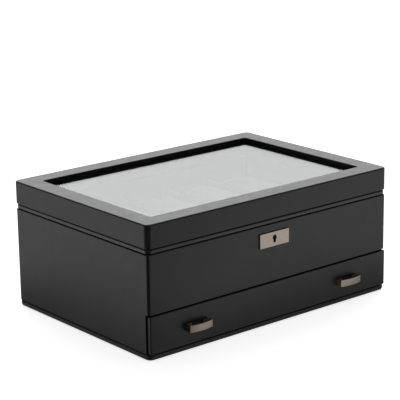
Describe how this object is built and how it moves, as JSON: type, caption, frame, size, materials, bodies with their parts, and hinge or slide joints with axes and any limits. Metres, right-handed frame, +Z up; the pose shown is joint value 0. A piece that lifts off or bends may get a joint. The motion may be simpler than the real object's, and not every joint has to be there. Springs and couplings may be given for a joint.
{
  "type": "watch box",
  "caption": "Leather-covered watch box with a glazed hinged lid, a key lock, cushioned compartments under the glass and a shallow drawer with bow pulls below.",
  "frame": {"origin": "centre of the underside, on the surface that the box stands on, with the case's outline centred on it", "axes": "+Z up, the front with the lock and the drawer faces -Y, +X runs along the front to the right"},
  "size_m": [0.33, 0.2434, 0.14],
  "materials": {
    "black_leather": "smooth black leather over board, soft satin sheen, faint fine grain",
    "inner_leather": "matt black leather",
    "suede_lining": "charcoal microsuede",
    "felt": "black felt",
    "drawer_board": "black stained board",
    "dark_bronze": "satin bronze plate",
    "steel_hardware": "brushed steel",
    "window_glass": "clear polished glass"
  },
  "bodies": {
    "case": {"base_felt": "felt", "base_board": "black_leather", "front_panel": "black_leather", "back_panel": "black_leather", "side_panel_left": "black_leather", "side_panel_right": "black_leather", "tray_floor": "suede_lining", "lining_left": "suede_lining", "lining_right": "suede_lining", "lining_front": "suede_lining", "lining_back": "suede_lining", "long_divider": "suede_lining", "cross_divider_1": "suede_lining", "cross_divider_2": "suede_lining", "cross_divider_3": "suede_lining", "cross_divider_4": "suede_lining", "watch_cushion_1": "suede_lining", "watch_cushion_2": "suede_lining", "watch_cushion_3": "suede_lining", "watch_cushion_4": "suede_lining", "watch_cushion_5": "suede_lining", "watch_cushion_6": "suede_lining", "watch_cushion_7": "suede_lining", "watch_cushion_8": "suede_lining", "watch_cushion_9": "suede_lining", "watch_cushion_10": "suede_lining", "drawer_runner_left": "drawer_board", "drawer_runner_right": "drawer_board", "drawer_stop": "drawer_board", "lock_plate": "dark_bronze", "lock_case": "steel_hardware", "hinge_leaf_body_left": "steel_hardware", "hinge_leaf_body_right": "steel_hardware", "hinge_pin_left": "steel_hardware", "hinge_pin_right": "steel_hardware"},
    "lid": {"lid_rim": "black_leather", "lid_rail_front": "black_leather", "lid_rail_back": "black_leather", "lid_rail_left": "black_leather", "lid_rail_right": "black_leather", "glass_pane": "window_glass", "glass_retainer": "inner_leather", "lock_strike": "steel_hardware", "hinge_leaf_lid_left": "steel_hardware", "hinge_leaf_lid_right": "steel_hardware"},
    "lock_plug": {"lock_plug": "steel_hardware"},
    "lock_bolt": {"lock_bolt": "steel_hardware"},
    "drawer": {"drawer_front": "black_leather", "drawer_box_front": "drawer_board", "drawer_side_left": "drawer_board", "drawer_side_right": "drawer_board", "drawer_back": "drawer_board", "drawer_bottom": "drawer_board", "drawer_pad": "suede_lining", "pull_left": "dark_bronze", "pull_right": "dark_bronze", "pull_screw_1": "steel_hardware", "pull_screw_2": "steel_hardware", "pull_screw_3": "steel_hardware", "pull_screw_4": "steel_hardware"}
  },
  "joints": [
    {"name": "lid_hinge", "type": "hinge", "parent": "case", "child": "lid", "pos_m": [0, 0.117, 0.10988], "axis": [-1, 0, 0], "range_deg": [0, 95]},
    {"name": "drawer_slide", "type": "slide", "parent": "case", "child": "drawer", "axis": [0, -1, 0], "range_m": [0, 0.15]},
    {"name": "bolt_throw", "type": "slide", "parent": "case", "child": "lock_bolt", "axis": [0, 0, 1], "range_m": [0, 0.004]},
    {"name": "lock_turn", "type": "hinge", "parent": "case", "child": "lock_plug", "pos_m": [0, -0.11, 0.09475], "axis": [0, -1, 0], "range_deg": [0, 90]}
  ],
  "couplings": [
    {"joint": "lock_turn", "follows": "bolt_throw", "rad_per_m": 392.6}
  ]
}
